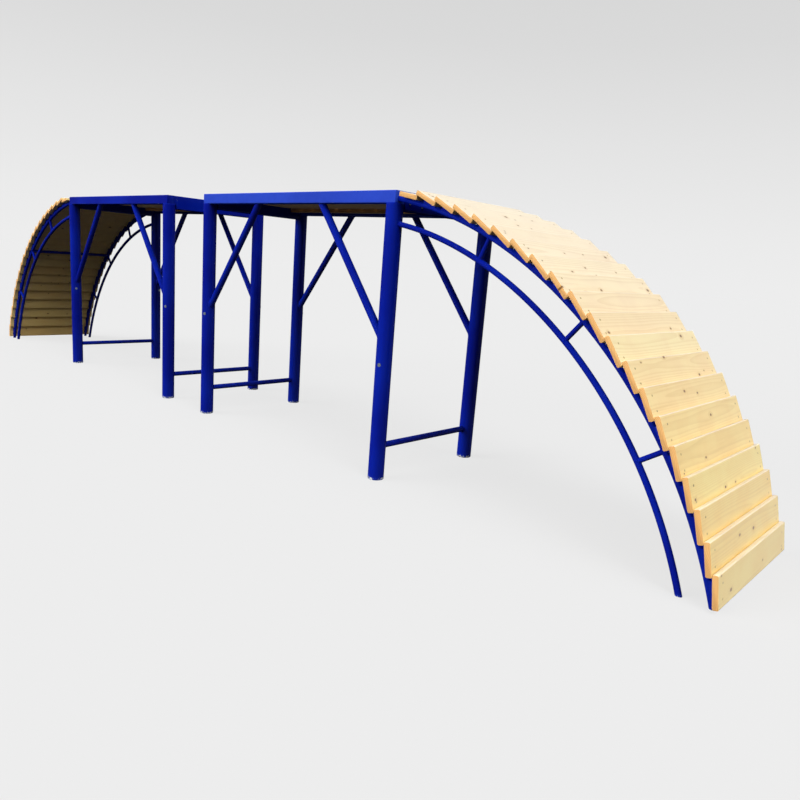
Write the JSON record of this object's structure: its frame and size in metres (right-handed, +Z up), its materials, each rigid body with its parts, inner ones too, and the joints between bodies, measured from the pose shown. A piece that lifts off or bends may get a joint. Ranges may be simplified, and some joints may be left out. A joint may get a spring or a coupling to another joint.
{
  "type": "dog agility bridge",
  "caption": "Dog agility bridge in two free-standing halves with a jump gap; each has a steel platform on round legs and an arched ramp of lapped pine boards.",
  "frame": {"origin": "On the ground in the middle of the jump gap and of the bridge's width.", "axes": "+Z is up. +X runs along the bridge from the middle of the gap to the near half, whose ramp comes down at +X. +Y goes from the front side to the back side."},
  "size_m": [6.104, 0.69, 1.2],
  "materials": {
    "blue_paint": "glossy ultramarine blue paint on steel tube",
    "ramp_pine": "planed pale pine with small knots, unpainted",
    "deck_pine": "planed pine, a little weathered, unpainted"
  },
  "bodies": {
    "near_half": {"near_platform_frame": "blue_paint", "near_deck": "deck_pine", "near_leg_gap_front": "blue_paint", "near_leg_gap_back": "blue_paint", "near_ground_bar_gap": "blue_paint", "near_leg_ramp_front": "blue_paint", "near_leg_ramp_back": "blue_paint", "near_ground_bar_ramp": "blue_paint", "near_truss_front": "blue_paint", "near_truss_back": "blue_paint", "near_board_01": "ramp_pine", "near_board_02": "ramp_pine", "near_board_03": "ramp_pine", "near_board_04": "ramp_pine", "near_board_05": "ramp_pine", "near_board_06": "ramp_pine", "near_board_07": "ramp_pine", "near_board_08": "ramp_pine", "near_board_09": "ramp_pine", "near_board_10": "ramp_pine", "near_board_11": "ramp_pine", "near_board_12": "ramp_pine", "near_board_13": "ramp_pine", "near_board_14": "ramp_pine", "near_board_15": "ramp_pine", "near_board_16": "ramp_pine", "near_board_17": "ramp_pine", "near_board_18": "ramp_pine", "near_board_19": "ramp_pine", "near_board_20": "ramp_pine"},
    "far_half": {"far_platform_frame": "blue_paint", "far_deck": "deck_pine", "far_leg_gap_front": "blue_paint", "far_leg_gap_back": "blue_paint", "far_ground_bar_gap": "blue_paint", "far_leg_ramp_front": "blue_paint", "far_leg_ramp_back": "blue_paint", "far_ground_bar_ramp": "blue_paint", "far_truss_front": "blue_paint", "far_truss_back": "blue_paint", "far_board_01": "ramp_pine", "far_board_02": "ramp_pine", "far_board_03": "ramp_pine", "far_board_04": "ramp_pine", "far_board_05": "ramp_pine", "far_board_06": "ramp_pine", "far_board_07": "ramp_pine", "far_board_08": "ramp_pine", "far_board_09": "ramp_pine", "far_board_10": "ramp_pine", "far_board_11": "ramp_pine", "far_board_12": "ramp_pine", "far_board_13": "ramp_pine", "far_board_14": "ramp_pine", "far_board_15": "ramp_pine", "far_board_16": "ramp_pine", "far_board_17": "ramp_pine", "far_board_18": "ramp_pine", "far_board_19": "ramp_pine", "far_board_20": "ramp_pine"}
  },
  "joints": [
    {"name": "jump_gap", "type": "slide", "parent": "near_half", "child": "far_half", "axis": [-1, 0, 0], "range_m": [-0.37, 0.3]}
  ]
}
